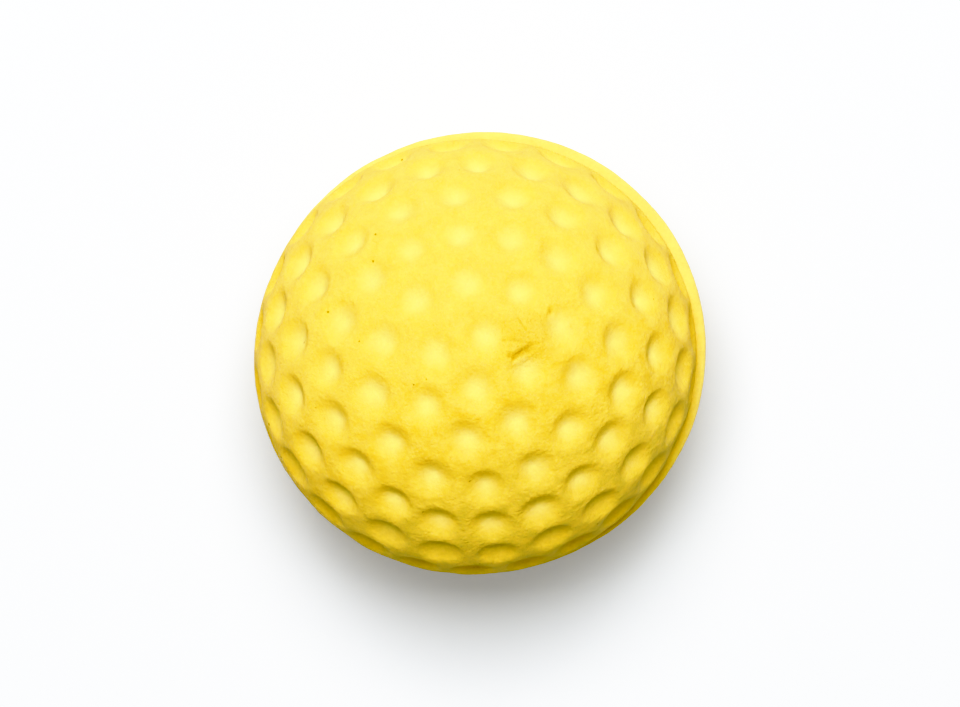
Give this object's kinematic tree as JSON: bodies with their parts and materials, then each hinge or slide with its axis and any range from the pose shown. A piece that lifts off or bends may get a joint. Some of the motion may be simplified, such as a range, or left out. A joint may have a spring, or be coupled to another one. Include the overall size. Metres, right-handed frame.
{
  "type": "foam practice golf ball",
  "caption": "Dimpled yellow foam practice golf ball with a thin moulding flash round its equator.",
  "frame": {"origin": "middle of the ball's extents, midway between the two skin halves", "axes": "+Z out through the pole of the upper half, +X the way the upper mould half is shifted"},
  "size_m": [0.043, 0.0426, 0.0426],
  "materials": {
    "skin": "matte",
    "flash": "matte",
    "foam": "matte"
  },
  "bodies": {
    "root": {"foam_core": "foam", "upper_skin": "skin", "lower_skin": "skin", "parting_flash": "flash"}
  },
  "joints": []
}
